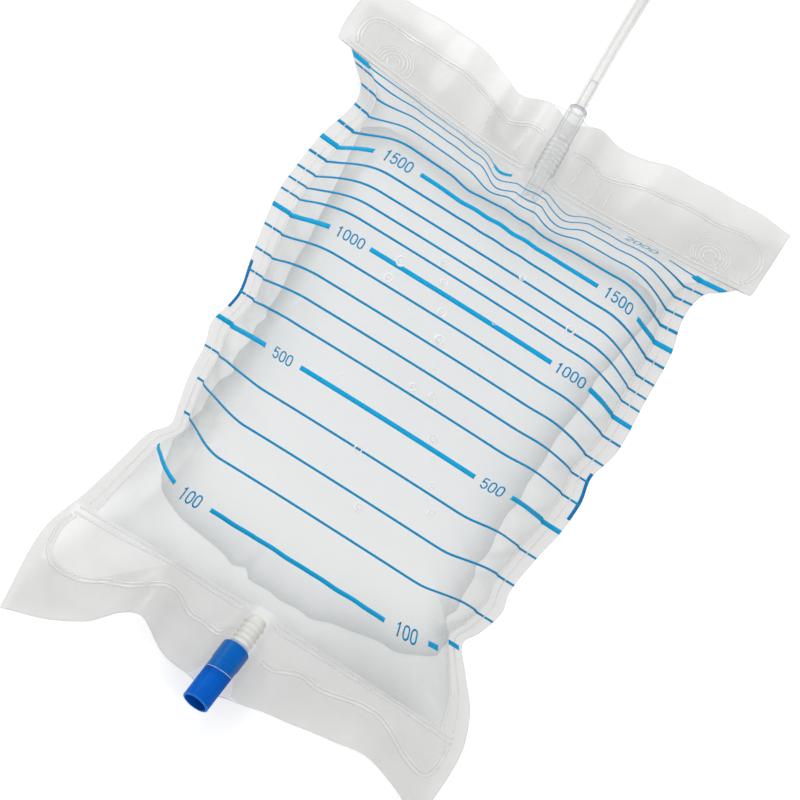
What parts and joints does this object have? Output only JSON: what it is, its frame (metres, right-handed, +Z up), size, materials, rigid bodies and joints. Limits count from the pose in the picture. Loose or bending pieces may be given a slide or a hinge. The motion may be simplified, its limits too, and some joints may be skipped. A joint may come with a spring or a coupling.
{
  "type": "urine drainage bag",
  "caption": "Clear film drainage bag, inflated, with a graduated front, ribbed inlet port with hose and coil, and a push-pull outlet valve.",
  "frame": {"origin": "on the surface the bag lies on, under the middle of its chamber, at the flat patch of the back sheet", "axes": "+Z up out of the printed front, +Y along the bag towards its inlet, +X to the reader's right"},
  "size_m": [0.2436, 0.5522, 0.0441],
  "materials": {
    "film": "clear soft vinyl film, glossy",
    "clear_vinyl": "clear vinyl, glossy",
    "milky_plastic": "milky white plastic, slightly translucent",
    "blue_plastic": "blue moulded plastic, satin",
    "seal": "pale rubber",
    "cap_plastic": "frosted plastic"
  },
  "bodies": {
    "bag": {"front_sheet": "film", "back_sheet": "film", "inlet_port": "clear_vinyl", "non_return_valve": "film", "outlet_spigot": "milky_plastic", "outlet_seal": "seal", "inlet_tube": "clear_vinyl", "tube_coil": "clear_vinyl", "tube_end": "clear_vinyl", "tube_connector": "milky_plastic"},
    "valve": {"valve_sleeve": "blue_plastic"},
    "cap": {"connector_cap": "cap_plastic"}
  },
  "joints": [
    {"name": "valve_pull", "type": "slide", "parent": "bag", "child": "valve", "axis": [-0.0872, -0.9962, 0], "range_m": [0, 0.006]},
    {"name": "cap_pull", "type": "slide", "parent": "bag", "child": "cap", "axis": [-0.9848, -0.1736, 0], "range_m": [0, 0.03]}
  ]
}
